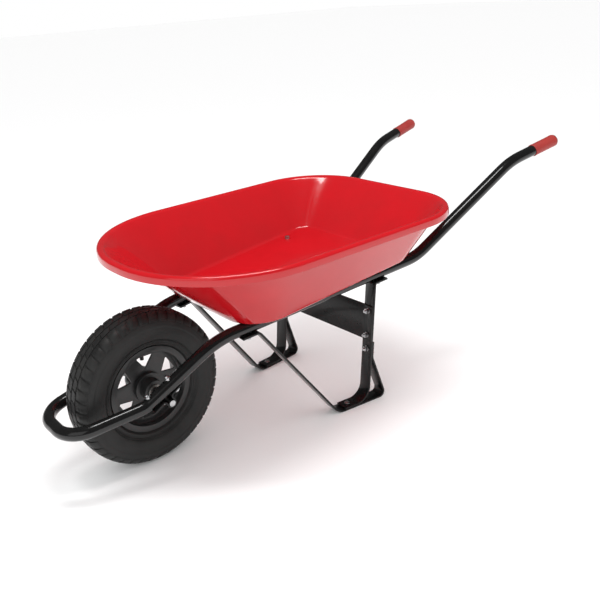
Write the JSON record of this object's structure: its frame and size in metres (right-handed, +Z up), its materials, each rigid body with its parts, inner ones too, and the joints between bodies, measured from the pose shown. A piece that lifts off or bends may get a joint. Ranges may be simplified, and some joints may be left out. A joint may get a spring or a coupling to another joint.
{
  "type": "wheelbarrow",
  "caption": "Wheelbarrow with a pressed steel tray on a bent tube frame, strap legs with a cross plate, and a pneumatic wheel that turns on a bolted axle.",
  "frame": {"origin": "centre of the whole barrow's footprint on the ground", "axes": "+Z up, +Y towards the grips, -Y towards the wheel, +X the left side of the person who pushes"},
  "size_m": [0.66, 1.5852, 0.653],
  "materials": {
    "frame_paint": "gloss black powder coat",
    "bracket_paint": "gloss black powder coat",
    "leg_paint": "gloss black powder coat",
    "tray_paint": "gloss red powder coat",
    "grip": "satin dull red",
    "axle_steel": "zinc plated",
    "spacer": "satin black",
    "zinc": "zinc plated",
    "rim": "satin dark grey",
    "tyre": "matte black with moulded tread",
    "inner_tube": "matte black",
    "bush": "satin",
    "valve_rubber": "matte black",
    "valve_cap": "satin black"
  },
  "bodies": {
    "frame": {"frame_tube": "frame_paint", "grip_left": "grip", "grip_right": "grip", "tray": "tray_paint", "axle": "axle_steel", "axle_nuts": "zinc", "axle_washers": "zinc", "axle_spacer_left": "spacer", "axle_spacer_right": "spacer", "axle_bracket_left": "bracket_paint", "axle_bracket_right": "bracket_paint", "axle_bracket_bolts": "zinc", "axle_bracket_nuts": "zinc", "leg_post_left": "leg_paint", "leg_post_right": "leg_paint", "foot_brace_left": "leg_paint", "foot_brace_right": "leg_paint", "leg_cross_plate": "leg_paint", "leg_bolts": "zinc", "leg_nuts": "zinc", "foot_rivets": "zinc", "tray_bolts": "zinc", "tray_nuts": "zinc", "tray_washers": "zinc"},
    "wheel": {"wheel_rim": "rim", "tyre": "tyre", "inner_tube": "inner_tube", "wheel_bush_left": "bush", "wheel_bush_right": "bush", "valve_stem": "valve_rubber", "valve_cap": "valve_cap"}
  },
  "joints": [
    {"name": "wheel_spin", "type": "hinge", "parent": "frame", "child": "wheel", "pos_m": [0, -0.53173, 0.2], "axis": [1, 0, 0], "continuous": true}
  ]
}
